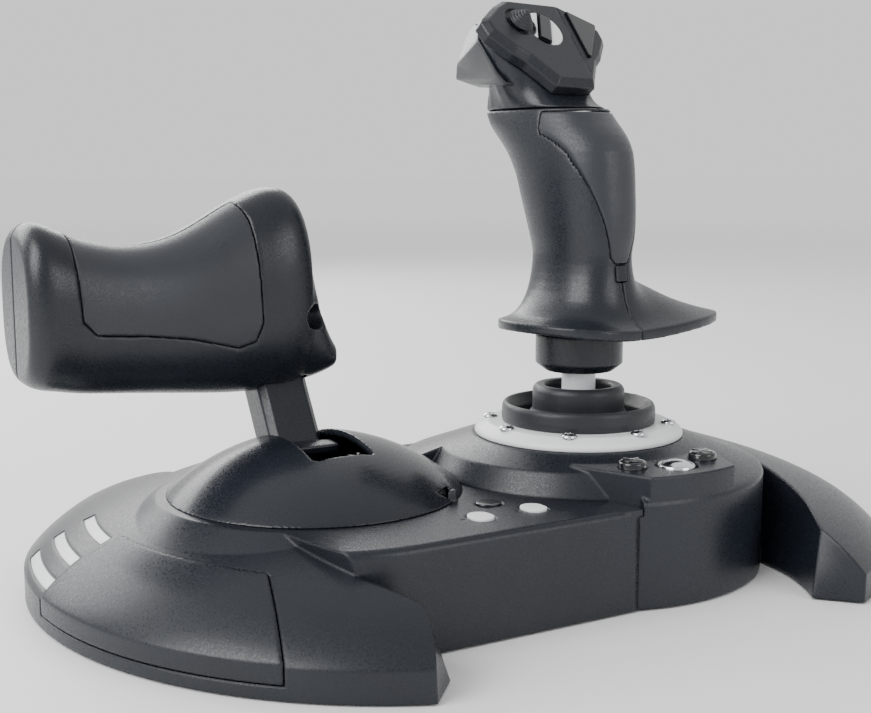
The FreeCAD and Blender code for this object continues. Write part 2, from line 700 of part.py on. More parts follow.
collar = turned([(shaft_radius + pin_gap, collar_bottom), (neck_hole_radius, collar_bottom), (collar_radius, collar_bottom + 3),
                 (collar_radius, rest_bottom - 0.1), (spigot_radius, rest_bottom - 0.1), (spigot_radius, 98.6),
                 (shaft_radius + pin_gap, 98.6)], 0, 0)
seam = box(-0.4, 0.4, -collar_radius - 1, -collar_radius + 0.7, collar_bottom, rest_bottom)
export(place(collar.cut(seam)), "grip_collar")

# ---- Head: shell, tilted face plate, hat, buttons and trigger --------------------
plate_half = [(9.8, -5.8), (13.2, -1.0), (18.5, 5.9), (23.2, 9.6), (30.6, 18.2), (31.0, 24.6), (28.6, 27.2), (20.4, 33.6), (13.2, 37.6)]
plate_outline = plate_half + [(-x, v) for x, v in reversed(plate_half)]
plate_centre = 16.0


def tilt(shape):
    """Lay a piece drawn flat (x right, y up the slope, z outward) on the head's slope."""
    copy = shape.copy()
    copy.rotate(ORIGIN, X_AXIS, math.degrees(head_tilt))
    copy.translate(V(0, head_y, head_z))
    return copy


def on_face(shape):
    """Carry a piece of the face plate to its final place on the turned grip."""
    return place(tilt(shape))


def plate_radius(angle):
    """Distance from the plate's centre to its edge in one direction."""
    c = math.cos(angle)
    s = math.sin(angle)
    best = 0.0
    count = len(plate_outline)
    for i in range(count):
        x0, v0 = plate_outline[i]
        x1, v1 = plate_outline[(i + 1) % count]
        v0 -= plate_centre
        v1 -= plate_centre
        dx = x1 - x0
        dv = v1 - v0
        det = c * dv - s * dx
        if abs(det) < 1e-9:
            continue
        r = (x0 * dv - v0 * dx) / det
        k = (x0 * s - v0 * c) / det
        if r > 0 and -1e-9 <= k <= 1 + 1e-9:
            best = max(best, r)
    return best


def head_ring(depth, scale, inset=0.0):
    """A section parallel to the face plate, given by its depth under the face."""
    points = []
    for a in GRIP_ANGLES:
        r = plate_radius(a) * scale - inset
        p = V(r * math.cos(a), plate_centre + r * math.sin(a), -depth)
        y = p.y * math.cos(head_tilt) - p.z * math.sin(head_tilt)
        z = p.y * math.sin(head_tilt) + p.z * math.cos(head_tilt)
        points.append(V(p.x, y + head_y, z + head_z))
    return points


neck_level = handle_levels[-1]
neck_z, neck_y, neck_a, neck_b = neck_level
shell_depth = plate_thickness + seam_gap


def head_middle(share):
    """A section part of the way from the neck to the plate, a little fuller than the straight line."""
    low = grip_section(neck_z, neck_y, neck_a, neck_b)
    high = head_ring(shell_depth, 0.95)
    bulge = 4 * share * (1 - share)
    return [l * (1 - share) + h * share + V(0, 1.2, -0.8) * bulge for l, h in zip(low, high)]


head_sections = [grip_section(neck_z + seam_gap, neck_y, neck_a, neck_b)]
head_sections += [head_middle(share) for share in (0.25, 0.5, 0.75)]
head_sections += [head_ring(shell_depth, 0.95)]
head_outer = Part.makeLoft([Part.makePolygon(p + p[:1]) for p in head_sections], True, True)

trigger_half = 12.5
trigger_hinge_y = 33.4
trigger_hinge_z = 202.4
trigger_side = [(30.6, 203.6), (36.4, 207.4), (41.2, 205.6), (46.5, 201.0), (52.8, 192.5), (57.2, 184.2), (55.6, 181.2),
                (51.0, 180.8), (46.6, 184.6), (42.6, 192.0), (37.4, 199.4), (31.0, 199.6)]
pocket_side = [(28.6, 205.6), (36.0, 209.6), (46.0, 209.0), (60.0, 186.0), (60.0, 178.6), (39.0, 178.6), (35.0, 188.0),
               (28.6, 196.6)]


def side_prism(side, half):
    outline = [V(-half, y, z) for y, z in side]
    outline.append(outline[0])
    return Part.Face(Part.makePolygon(outline)).extrude(V(2 * half, 0, 0))


trigger_pin_radius = 1.5
trigger = side_prism(trigger_side, trigger_half)
trigger = trigger.makeFillet(1.0, [e for e in trigger.Edges if abs(e.Vertexes[0].Point.x) == trigger_half and
                                   abs(e.Vertexes[-1].Point.x - e.Vertexes[0].Point.x) < 1e-6])
trigger = trigger.cut(rod(trigger_pin_radius + pin_gap, 60, V(-30, trigger_hinge_y, trigger_hinge_z), X_AXIS))
trigger_pin = rod(trigger_pin_radius, 2 * trigger_half + 5.0, V(-trigger_half - 2.5, trigger_hinge_y, trigger_hinge_z), X_AXIS)
pocket_half = trigger_half + 0.4
cheek_side = [(30.2, 203.2), (36.6, 206.4), (38.4, 200.0), (36.0, 197.0), (27.0, 197.0)]
cheek_thick = 2.6
trigger_bore = rod(trigger_pin_radius + 0.01, 2 * (trigger_half + 2.5), V(-trigger_half - 2.5, trigger_hinge_y, trigger_hinge_z), X_AXIS)
head_shell = head_outer.cut(side_prism(pocket_side, pocket_half))
for s in (-1, 1):
    cheek = moved(side_prism(cheek_side, cheek_thick / 2), s * (pocket_half + cheek_thick / 2), 0, 0)
    head_shell = head_shell.fuse(cheek)
head_shell = head_shell.cut(trigger_bore)
plate_room = []
for x, v in plate_outline:
    k = 1 + seam_gap / math.hypot(x, v - plate_centre)
    plate_room.append((x * k, plate_centre + (v - plate_centre) * k))
head_shell = head_shell.cut(tilt(slab(plate_room, -plate_thickness - 0.1, 30)))
export(place(largest(head_shell)), "head_shell")
export(place(trigger), "trigger")
export(place(trigger_pin), "trigger_pin")

plate_bevel = 2.4
plate_low = Part.makePolygon([V(x, v, -plate_thickness) for x, v in plate_outline + plate_outline[:1]])
plate = Part.Face(plate_low).extrude(V(0, 0, plate_thickness))
top_edges = [e for e in plate.Edges if all(abs(v.Point.z) < 1e-6 for v in e.Vertexes)]
plate = plate.makeChamfer(plate_bevel, top_edges)

hat_x = -12.6
hat_v = 24.6
hat_radius = 5.2
hat_recess = 6.7
hat_stem = 2.0
hat_tilt = 8.0
hat_pivot = -4.4
plate = plate.cut(rod(hat_recess, 5, V(hat_x, hat_v, -1.2)))
plate = plate.cut(rod(hat_stem + 1.6, 20, V(hat_x, hat_v, -10)))
plate = plate.cut(rod(5.2, 4.2, V(hat_x, hat_v, -plate_thickness)))
bar_x = -1.6
bar_v = 22.0
bar_half = 6.8
bar_half_width = 2.3
bar_angle = 62.0
accent_radius = 8.3
accent_depth = 0.8


def turned_box(length, width, z0, z1, grow=0.0):
    bar = box(-length - grow, length + grow, -width - grow, width + grow, z0, z1)
    bar = rotated(bar, ORIGIN, Z_AXIS, bar_angle)
    return moved(bar, bar_x, bar_v, 0)


face_disc = rod(accent_radius, accent_depth, V(bar_x, bar_v, -accent_depth))
hat_keep = rod(hat_recess + 0.6, 10, V(hat_x, hat_v, -5))
face_disc = face_disc.cut(hat_keep)
accent_cut = face_disc.copy()
bar_slot = turned_box(bar_half, bar_half_width, -20, 5, running_gap)
plate = plate.cut(accent_cut).cut(bar_slot)
accent = face_disc.cut(turned_box(accent_radius + 2, bar_half_width + 0.9, -20, 5))
accents = [s for s in accent.Solids if s.Volume > 4]
Part.makeCompound([on_face(s) for s in accents]).exportStep("parts/head_accents.step")

tri = [(15.6, 32.0), (27.4, 25.8), (27.0, 24.4), (14.6, 8.4), (13.6, 9.0)]
tri_travel = 1.2


def tri_prism(grow, z0, z1):
    cx = sum(x for x, v in tri) / len(tri)
    cv = sum(v for x, v in tri) / len(tri)
    points = []
    for x, v in tri:
        d = math.hypot(x - cx, v - cv)
        k = (d + grow) / d
        points.append((cx + (x - cx) * k, cv + (v - cv) * k))
    return slab(points, z0, z1)


plate = plate.cut(tri_prism(0.6, -20, 5))
ridge = slab([(12.2, 36.0), (12.9, 36.0), (9.9, 0.0), (9.2, 0.0)], -0.35, 1.0)
plate = plate.cut(ridge)
export(on_face(largest(plate)), "head_plate")

bar_button = turned_box(bar_half, bar_half_width, -5.4, 0.9)
export(on_face(bar_button), "thumb_bar_button")
tri_button = tri_prism(0.0, -5.2, 1.0)
export(on_face(tri_button), "thumb_side_button")

# Hat: a ridged cone on a stem that rocks both ways in a small carrier ring.
carrier_outer = 5.0
carrier_inner = 3.0
carrier = rod(carrier_outer, 1.8, V(hat_x, hat_v, hat_pivot - 0.9)).cut(rod(carrier_inner, 1.8, V(hat_x, hat_v, hat_pivot - 0.9)))
export(on_face(carrier), "hat_carrier")
cone = [(0, hat_pivot - 1.6), (hat_stem, hat_pivot - 1.6), (hat_stem, 0.3), (hat_radius, 0.3)]
ridges = 5
for i in range(ridges):
    r = hat_radius - i * (hat_radius - 0.9) / ridges
    h = 1.1 + i * 0.95
    cone += [(r, h), (r - 0.45, h + 0.25)]
cone += [(0.5, 1.1 + ridges * 0.95), (0, 1.1 + ridges * 0.95)]
export(on_face(turned(cone, hat_x, hat_v)), "hat_cap")

# ---- Throttle base shell -----------------------------------------------------------
nest_gap = 0.4
block_right = 44.0
hub_radius = -front_wall_y
block_crown = 36.5
crown_y = front_wall_y + (block_crown - block_top) / math.tan(block_slope)
rear_wall_y = -front_wall_y


def throttle_body(inset, bottom):
    """The block between the units joined to the round under the dome."""
    front = front_wall_y + inset
    rear = rear_wall_y - inset
    top = block_top - inset
    crown = block_crown - inset
    far_left = throttle_x - hub_radius
    side = [V(far_left, front, bottom), V(far_left, front, top), V(far_left, crown_y, crown),
            V(far_left, crown_y + 30, crown), V(far_left, rear, top), V(far_left, rear, bottom)]
    side.append(side[0])
    roof = Part.Face(Part.makePolygon(side)).extrude(V(block_right - far_left, 0, 0))
    plan = rod(hub_radius - inset, 90, V(throttle_x, 0, bottom - 5))
    plan = plan.fuse(box(throttle_x, block_right, front, rear, bottom - 5, 90))
    keep = rod(drum_radius + nest_gap + inset, 90, V(stick_x, 0, 0))
    return roof.common(plan).cut(keep).cut(box(stick_x, 300, -300, 300, -5, 90))


corner_edges = []
body_outer = throttle_body(0, base_bottom)
for edge in body_outer.Edges:
    a = edge.Vertexes[0].Point
    b = edge.Vertexes[-1].Point
    if abs(a.y - front_wall_y) < 1e-6 and abs(b.y - front_wall_y) < 1e-6 and a.z > block_top - 1e-6 and b.z > block_top - 1e-6:
        corner_edges.append(edge)
body_outer = body_outer.makeFillet(2.5, corner_edges)
left_wing_outer = mirror_x(wing_outer)
left_wing_inner = mirror_x(wing_inner)

# Where the round runs into the wing its rim is taken down to the wing's own
# surface. A sloping ring stays around the dome's seat.
seat_ring_radius = dome_base_radius + 1.8
seat_ring_fall = 0.75


def above_wing(grow):
    """Everything over the left wing's surface and the dome's sloping ring."""
    region = mirror_x(wing_block(-grow, base_bottom - 1))
    low = block_top - 9.0
    high = block_top + 4.0
    low_radius = seat_ring_radius + (block_top - low) / seat_ring_fall
    high_radius = seat_ring_radius - (high - block_top) / seat_ring_fall
    ring = Part.makeCone(low_radius, high_radius, high - low, V(throttle_x, dome_y, low))
    core = rod(high_radius, 60, V(throttle_x, dome_y, 0))
    wing_top = mirror_x(wing_dome(0, 0, base_bottom - 3))
    return moved(region.cut(wing_top).cut(ring).cut(core), 0, 0, -grow)


body_outer = body_outer.cut(above_wing(0))
body_inner = throttle_body(wall, base_bottom - 1).cut(above_wing(wall))
throttle_outer = body_outer.fuse(left_wing_outer)
throttle_inner = body_inner.fuse(left_wing_inner)
nest = rod(drum_radius + nest_gap, 90, V(stick_x, 0, 0))
throttle_outer = throttle_outer.cut(nest)
tongue = box(-60, stick_x, front_wall_y, 40, shelf_floor + seam_gap, block_crown)
roof_side = [V(-60, front_wall_y, 30), V(-60, front_wall_y, block_top), V(-60, crown_y, block_crown), V(-60, 40, block_crown), V(-60, 40, 30)]
roof_side.append(roof_side[0])
tongue = tongue.common(Part.Face(Part.makePolygon(roof_side)).extrude(V(100, 0, 0)))
tongue = tongue.common(rod(drum_radius + nest_gap + 1.0, 60, V(stick_x, 0, 0))).cut(rod(shelf_radius + seam_gap, 60, V(stick_x, 0, 0)))
tongue = tongue.common(shelf_zone(0, 70, -0.4))
throttle_outer = throttle_outer.fuse(tongue.cut(shell_outer))

sag = dome_top - dome_base_z
dome_sphere = (dome_base_radius ** 2 + sag ** 2) / (2 * sag)
dome_centre = V(throttle_x, dome_y, dome_top - dome_sphere)
above = box(-200, 60, -100, 120, dome_base_z - 4.0, 90)
dome = Part.makeSphere(dome_sphere, dome_centre).common(above)
dome = dome.cut(Part.makeSphere(dome_sphere - wall, dome_centre))
cone_room = nest.cut(shelf_zone(0, 95, -0.4)).fuse(rod(shelf_radius + seam_gap, 90, V(stick_x, 0, 0)))
dome = dome.cut(throttle_outer).cut(cone_room)
dome = max(dome.Solids, key=lambda s: s.Volume)
slot_side_gap = 1.4
slot_half = arm_width / 2 + slot_side_gap
slot_front = -11.0
slot_rear = 48.5
slot = box(throttle_x - slot_half, throttle_x + slot_half, slot_front, slot_rear, 20, 90)
slot = slot.makeFillet(2.0, [e for e in slot.Edges if abs(e.Vertexes[0].Point.z - e.Vertexes[-1].Point.z) > 60])
dome = dome.cut(slot)
export(dome, "dome_cover")

throttle_shell = throttle_outer.cut(throttle_inner)
throttle_shell = throttle_shell.cut(rod(dome_base_radius - 4.0, 60, V(throttle_x, dome_y, dome_base_z - 12)))


# Cover plate and accent inserts on the left wing.
def arc_point(angle, radius, z=0.0):
    """A point on the left wing, its angle measured from -X towards the user."""
    a = math.radians(180 + angle)
    return V(-wing_centre_x + radius * math.cos(a), wing_centre_y + radius * math.sin(a), z)


def arc_patch(r0, r1, a0, a1, a0_outer=None, a1_outer=None, z0=0.0, z1=60.0):
    """A prism over a patch of the left wing between two radii and two angles."""
    a0_outer = a0 if a0_outer is None else a0_outer
    a1_outer = a1 if a1_outer is None else a1_outer
    p0 = arc_point(a0, r0, z0)
    p1 = arc_point(a1, r0, z0)
    q0 = arc_point(a0_outer, r1, z0)
    q1 = arc_point(a1_outer, r1, z0)
    inner = Part.Arc(p0, arc_point((a0 + a1) / 2, r0, z0), p1).toShape()
    outer = Part.Arc(q1, arc_point((a0_outer + a1_outer) / 2, r1, z0), q0).toShape()
    wire = Part.Wire([inner, Part.makeLine(p1, q1), outer, Part.makeLine(q0, p0)])
    return Part.Face(wire).extrude(V(0, 0, z1 - z0))


plate_inner_radius = 109.0
plate_far = (5.6, 2.8)
plate_near = (41.0, 49.6)
cover_rise = 0.9
cover_skin = 1.8
cover_low = 5.2
lift = wing_dome(0, -cover_rise, base_bottom)
lifted = mirror_x(lift).common(rod(wing_radius, 60, V(-wing_centre_x, wing_centre_y, 0)))
sunk = mirror_x(wing_dome(cover_skin, cover_skin, base_bottom))
cover_zone = arc_patch(plate_inner_radius, wing_radius + 6, plate_far[0], plate_near[0], plate_far[1], plate_near[1], cover_low, 60)
lip_ring = rod(wing_radius, rim_height + cover_rise - cover_low, V(-wing_centre_x, wing_centre_y, cover_low))
cover = lifted.fuse(lip_ring).common(cover_zone).cut(sunk)
cover = max(cover.Solids, key=lambda s: s.Volume)
cover_pocket = arc_patch(plate_inner_radius - seam_gap, wing_radius + 6, plate_far[0] - 0.15, plate_near[0] + 0.15,
                         plate_far[1] - 0.15, plate_near[1] + 0.15, cover_low - seam_gap, 60).cut(sunk)
throttle_shell = throttle_shell.cut(cover_pocket)
export(cover, "wing_cover")

insert_rows = [(130.2, 133.6), (121.6, 125.4), (111.0, 115.0)]
insert_far = -13.6
insert_near = 3.0
insert_sink = 0.5
insert_skin = 2.2
sunk_face = mirror_x(wing_dome(0, insert_sink, base_bottom))
back_face = mirror_x(wing_dome(0, insert_sink + 1.4, base_bottom))
insert_names = ["wing_insert_outer", "wing_insert_middle", "wing_insert_inner"]
for (r0, r1), name in zip(insert_rows, insert_names):
    zone = arc_patch(r0, r1, insert_far, insert_near, z0=5.0)
    insert = sunk_face.common(zone).cut(back_face)
    export(max(insert.Solids, key=lambda s: s.Volume), name)
    throttle_shell = throttle_shell.cut(zone.cut(back_face))

for name, (x, y, a, b) in oval_spots.items():
    z = panel_z(y)
    export(oval_slab(x, y, z - oval_depth, z + oval_rise, a, b), name)
throttle_shell = panel_holes(throttle_shell)
lamps = []
for x, y in lamp_spots:
    lamps.append(rod(0.6, 3.0, V(x, y, panel_z(y) - 3.1)))
Part.makeCompound(lamps).exportStep("parts/panel_lamps.step")
export(max(throttle_shell.Solids, key=lambda s: s.Volume), "throttle_base_shell")

tray_block = throttle_body(wall + seam_gap, base_bottom)
tray_left_wing = mirror_x(tray_from(wing_floor.common(wing_rim)))
throttle_tray = tray_from(tray_block).fuse(tray_left_wing)
left_feet = [(-x, y) for x, y in foot_spots] + [(-44.0, -45.0), (-44.0, 45.0)]
for x, y in left_feet:
    throttle_tray = throttle_tray.cut(rod(foot_radius + 0.1, foot_sink, V(x, y, base_bottom)))
foot_group(foot_spots + left_feet).exportStep("parts/feet.step")
throttle_tray = screw_seats(throttle_tray)
export(max(throttle_tray.Solids, key=lambda s: s.Volume), "throttle_tray")
tray_screws = []
for x, y in tray_screw_spots:
    screw = rod(tray_screw_radius, 1.2, V(x, y, base_bottom + screw_recess - 0.6)).fuse(rod(1.3, 6.0, V(x, y, base_bottom + screw_recess)))
    screw = screw.cut(box(x - 1.6, x + 1.6, y - 0.35, y + 0.35, base_bottom, base_bottom + screw_recess))
    screw = screw.cut(box(x - 0.35, x + 0.35, y - 1.6, y + 1.6, base_bottom, base_bottom + screw_recess))
    tray_screws.append(screw.removeSplitter())
Part.makeCompound(tray_screws).exportStep("parts/tray_screws.step")
export(box(-64, -40, 30, 60, tray_top + 5, tray_top + 5 + board_thickness), "throttle_board")

# ---- Throttle arm ---------------------------------------------------------------------
pivot = V(0, arm_pivot_y, arm_pivot_z)
axle_radius = 3.0
yoke_gap = 13.6
yoke_thick = 4.0


def lean(shape):
    return rotated(shape, pivot, X_AXIS, -arm_lean)


arm_base = arm_pivot_z + sector_radius - 3.0
arm_top = arm_pivot_z + 68.0
arm = box(throttle_x - arm_width / 2, throttle_x + arm_width / 2, arm_pivot_y - arm_depth / 2, arm_pivot_y + arm_depth / 2, arm_base, arm_top)
arm = arm.makeChamfer(2.6, [e for e in arm.Edges if abs(e.Vertexes[0].Point.z - e.Vertexes[-1].Point.z) > 20])
drum = rod(sector_radius, arm_width, V(throttle_x - arm_width / 2, arm_pivot_y, arm_pivot_z), X_AXIS)
hub_hole = rod(sector_radius - 3.0, arm_width, V(throttle_x - arm_width / 2, arm_pivot_y, arm_pivot_z), X_AXIS)
fan_angle = math.radians(42.0)
fan_reach = 3 * sector_radius
fan = [V(throttle_x - arm_width / 2, arm_pivot_y, arm_pivot_z),
       V(throttle_x - arm_width / 2, arm_pivot_y + fan_reach * math.sin(fan_angle), arm_pivot_z + fan_reach * math.cos(fan_angle)),
       V(throttle_x - arm_width / 2, arm_pivot_y - fan_reach * math.sin(fan_angle), arm_pivot_z + fan_reach * math.cos(fan_angle))]
fan.append(fan[0])
fan_prism = Part.Face(Part.makePolygon(fan)).extrude(V(arm_width, 0, 0))
sector = drum.cut(hub_hole).common(fan_prism)
web = box(throttle_x - 4, throttle_x + 4, arm_pivot_y - 7, arm_pivot_y + 7, arm_pivot_z, arm_base + 1)
hub_barrel = rod(7.0, arm_width, V(throttle_x - arm_width / 2, arm_pivot_y, arm_pivot_z), X_AXIS)
arm = arm.fuse([sector, web, hub_barrel])
arm = arm.cut(rod(axle_radius + 0.01, 80, V(throttle_x - 40, arm_pivot_y, arm_pivot_z), X_AXIS))
export(lean(arm), "throttle_arm")
axle = rod(axle_radius, 2 * (yoke_gap + yoke_thick) + 1.0, V(throttle_x - yoke_gap - yoke_thick - 0.5, arm_pivot_y, arm_pivot_z), X_AXIS)
export(axle, "throttle_axle")
yoke = box(throttle_x - yoke_gap - yoke_thick, throttle_x + yoke_gap + yoke_thick, arm_pivot_y - 9, arm_pivot_y + 9, tray_top, tray_top + 3)
for s in (-1, 1):
    x0 = throttle_x + s * (yoke_gap + yoke_thick / 2) - yoke_thick / 2
    cheek = box(x0, x0 + yoke_thick, arm_pivot_y - 9, arm_pivot_y + 9, tray_top, arm_pivot_z)
    cheek = cheek.fuse(rod(9, yoke_thick, V(x0, arm_pivot_y, arm_pivot_z), X_AXIS))
    yoke = yoke.fuse(cheek)
yoke = yoke.cut(rod(axle_radius + pin_gap, 80, V(throttle_x - 40, arm_pivot_y, arm_pivot_z), X_AXIS))
export(yoke.removeSplitter(), "throttle_yoke")
brake = box(throttle_x - 6, throttle_x + 6, arm_pivot_y - 6, arm_pivot_y + 6, tray_top + 3.2, arm_pivot_z - 7.3)
export(brake, "brake_pad")

# ---- Throttle grip: a cross handle, long to the user's left -----------------------------
throttle_sections = [(-163.0, 79.0, 125.5, 56.5, 20.0), (-161.2, 75.6, 129.6, 56.0, 22.6), (-158.0, 74.0, 131.6, 55.0, 23.4),
                     (-153.5, 73.2, 130.8, 54.0, 22.8), (-147.0, 72.2, 127.8, 53.0, 21.2), (-137.0, 71.2, 124.6, 52.5, 20.2),
                     (-126.0, 70.4, 123.2, 52.5, 19.6), (-114.0, 69.4, 124.4, 52.5, 19.6), (-102.0, 68.4, 129.0, 52.5, 20.4),
                     (-90.0, 67.6, 135.8, 52.5, 21.6), (-80.0, 67.4, 140.6, 52.5, 22.6), (-71.0, 67.8, 143.0, 52.0, 22.8),
                     (-65.0, 69.0, 141.0, 52.0, 21.8), (-61.5, 70.2, 133.0, 52.0, 20.4)]
flare_sections = [(-62.5, 69.8, 134.0, 52.0, 20.2), (-59.0, 71.0, 112.0, 51.0, 18.6), (-55.0, 72.6, 96.0, 50.0, 16.6), (-50.5, 75.0, 86.0, 49.0, 13.6)]


def cross_section(x, low, high, y, half, inset=0.0):
    return oval_points(V(x, y, (low + high) / 2), Y_AXIS, Z_AXIS, half - inset, (high - low) / 2 - inset, 2.6, 24)


def cross_loft(rows, inset=0.0, ruled=False):
    return Part.makeLoft([smooth_wire(cross_section(*row, inset=inset)) for row in rows], True, ruled)


throttle_body_outer = cross_loft(throttle_sections).fuse(cross_loft(flare_sections))
throttle_hollow = cross_loft(throttle_sections[2:-1], grip_wall)
throttle_grip = throttle_body_outer.cut(throttle_hollow)
throttle_grip = throttle_grip.cut(lean(box(throttle_x - arm_width / 2 - 0.02, throttle_x + arm_width / 2 + 0.02,
                                           arm_pivot_y - arm_depth / 2 - 0.02, arm_pivot_y + arm_depth / 2 + 0.02, arm_base, arm_top + 0.1)))
split_y = 58.0
pad_rows = [(-147.5, 129.0), (-145.5, 99.0), (-141.0, 94.0), (-122.0, 92.5), (-107.0, 90.5), (-91.0, 86.5), (-84.5, 88.5),
            (-82.0, 95.0), (-83.0, 115.0), (-84.5, 131.0), (-90.0, 150.0), (-150.0, 150.0)]


def pad_prism(y0, y1, grow=0.0):
    cx = sum(x for x, z in pad_rows) / len(pad_rows)
    cz = sum(z for x, z in pad_rows) / len(pad_rows)
    outline = [V(x + math.copysign(grow, x - cx), y0, z + math.copysign(grow, z - cz)) for x, z in pad_rows]
    outline.append(outline[0])
    return Part.Face(Part.makePolygon(outline)).extrude(V(0, y1 - y0, 0))


pad_split = 50.0
inlay = throttle_grip.common(pad_prism(0, pad_split))
throttle_grip = throttle_grip.cut(pad_prism(0, pad_split + seam_gap, seam_gap))
export(max(inlay.Solids, key=lambda s: s.Volume), "throttle_inlay")

thumb_radius = 4.4
thumb_y = 45.0
thumb_heights = [129.0, 117.0, 105.0]
thumb_face = -64.5
thumb_out = 6.0
thumb_travel = 1.2
for z in thumb_heights:
    throttle_grip = throttle_grip.cut(rod(thumb_radius + running_gap, 14, V(thumb_face - 4, thumb_y, z), X_AXIS))
oval_axis = V(0.80, -0.60, 0.05)
oval_axis.normalize()
oval_base = V(-64.0, 36.6, 95.5) - oval_axis * 4
throttle_grip = throttle_grip.cut(rod(thumb_radius + running_gap, 16, oval_base - oval_axis * 2, oval_axis))

rocker_x = -112.0
rocker_half = 17.0
rocker_z = 99.0
rocker_y = 70.0
rocker_pocket = box(rocker_x - rocker_half - 0.8, rocker_x + rocker_half + 0.8, rocker_y - 7.0, rocker_y + 12, rocker_z - 6.6, rocker_z + 6.6)
throttle_grip = throttle_grip.cut(rocker_pocket)
front_half = throttle_grip.common(box(-200, 0, 0, split_y - seam_gap / 2, 40, 170))
back_half = throttle_grip.common(box(-200, 0, split_y + seam_gap / 2, 120, 40, 170))
export(largest(front_half), "throttle_grip_front")
export(largest(back_half), "throttle_grip_back")

for i, z in enumerate(thumb_heights):
    cap = rod(thumb_radius, thumb_out, V(thumb_face - 2.5, thumb_y, z), X_AXIS)
    crown = Part.makeSphere(thumb_radius * 1.35, V(thumb_face - 2.5 + thumb_out - thumb_radius * 0.91, thumb_y, z))
    cap = cap.fuse(crown.common(rod(thumb_radius, 9, V(thumb_face - 2.5, thumb_y, z), X_AXIS)))
    export(cap.removeSplitter(), "thumb_button_" + "abc"[i])
oval_cap = rod(thumb_radius, 6.2, oval_base, oval_axis)
export(oval_cap, "thumb_button_d")

rocker_pin = 1.2
rocker = box(rocker_x - rocker_half, rocker_x + rocker_half, rocker_y - 1.0, rocker_y + 3.4, rocker_z - 6, rocker_z + 6)
rocker = rocker.fuse(box(rocker_x - 3, rocker_x + 3, rocker_y - 5.0, rocker_y, rocker_z - 6, rocker_z + 6))
rocker = rocker.cut(rod(rocker_pin + pin_gap, 40, V(rocker_x, rocker_y - 2.5, rocker_z - 20)))
export(rocker.removeSplitter(), "rudder_rocker")
rocker_axle = rod(rocker_pin, 15.6, V(rocker_x, rocker_y - 2.5, rocker_z - 7.8))
export(rocker_axle, "rocker_pin")
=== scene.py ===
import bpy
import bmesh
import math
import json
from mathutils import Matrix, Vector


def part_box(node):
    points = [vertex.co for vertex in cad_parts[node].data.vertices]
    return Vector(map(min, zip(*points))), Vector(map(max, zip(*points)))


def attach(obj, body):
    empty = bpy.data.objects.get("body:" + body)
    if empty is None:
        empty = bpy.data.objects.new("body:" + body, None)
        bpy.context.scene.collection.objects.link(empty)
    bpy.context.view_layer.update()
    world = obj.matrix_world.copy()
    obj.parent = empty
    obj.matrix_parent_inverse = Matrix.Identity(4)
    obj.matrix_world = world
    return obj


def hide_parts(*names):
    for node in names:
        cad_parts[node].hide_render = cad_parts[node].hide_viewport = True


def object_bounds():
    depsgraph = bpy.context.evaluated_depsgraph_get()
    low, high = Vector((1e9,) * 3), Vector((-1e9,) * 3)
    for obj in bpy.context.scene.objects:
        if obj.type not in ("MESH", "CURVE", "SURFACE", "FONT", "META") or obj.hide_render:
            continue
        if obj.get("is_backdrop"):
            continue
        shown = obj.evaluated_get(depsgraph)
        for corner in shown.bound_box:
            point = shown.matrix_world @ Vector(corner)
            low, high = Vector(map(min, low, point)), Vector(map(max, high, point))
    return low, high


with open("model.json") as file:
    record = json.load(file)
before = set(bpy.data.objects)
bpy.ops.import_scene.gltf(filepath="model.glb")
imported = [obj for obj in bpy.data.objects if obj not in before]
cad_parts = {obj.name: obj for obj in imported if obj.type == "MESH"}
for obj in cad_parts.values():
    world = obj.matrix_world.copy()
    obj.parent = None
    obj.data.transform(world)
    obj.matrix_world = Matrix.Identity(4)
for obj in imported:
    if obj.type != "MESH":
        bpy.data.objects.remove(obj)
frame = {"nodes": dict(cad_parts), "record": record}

# %% [markdown]
# # A flight joystick with its throttle
# The object is a stick in a sprung gimbal and a throttle lever in a slotted dome, on one low base with
# two curved wings. The frame brings every hard piece at its real size. This lesson gives the pieces their
# moulded look: soft edges, grained plastic, rubber, gloss caps and bright screws.

nodes = frame["nodes"]
low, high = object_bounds()
print("pieces in the frame:", len(nodes))
mm = 0.001

# %% [markdown]
# ## Shared shader effects
# Moulded plastic is never one flat value. Three effects are shared by all materials, so each is a node
# group: a fine spark-eroded grain, a softened edge, and a slow drift of tone such as handling leaves.
# The softened edge also gives a patchy mask for a painted highlight along the edges.


# %% Group: moulded grain
def new_group(name, inputs, outputs):
    group = bpy.data.node_groups.new(name, "ShaderNodeTree")
    for label, kind, value in inputs:
        socket = group.interface.new_socket(label, in_out="INPUT", socket_type=kind)
        if value is not None:
            socket.default_value = value
    for label, kind in outputs:
        group.interface.new_socket(label, in_out="OUTPUT", socket_type=kind)
    start = group.nodes.new("NodeGroupInput")
    end = group.nodes.new("NodeGroupOutput")
    return group, start, end


grain_group, g_in, g_out = new_group(
    "moulded_grain",
    [("Scale", "NodeSocketFloat", 1600.0), ("Depth", "NodeSocketFloat", 0.2), ("Edge", "NodeSocketFloat", 0.0006)],
    [("Value", "NodeSocketFloat"), ("Drift", "NodeSocketFloat"), ("Edge_Highlight", "NodeSocketFloat"), ("Normal", "NodeSocketVector")],
)
gn, gl = grain_group.nodes, grain_group.links
coords = gn.new("ShaderNodeTexCoord")
fine = gn.new("ShaderNodeTexNoise")
fine.inputs["Detail"].default_value = 3.0
fine.inputs["Roughness"].default_value = 0.6
gl.new(coords.outputs["Object"], fine.inputs["Vector"])
gl.new(g_in.outputs["Scale"], fine.inputs["Scale"])
slow = gn.new("ShaderNodeTexNoise")
slow.inputs["Scale"].default_value = 18.0
slow.inputs["Detail"].default_value = 5.0
slow.inputs["Roughness"].default_value = 0.6
gl.new(coords.outputs["Object"], slow.inputs["Vector"])
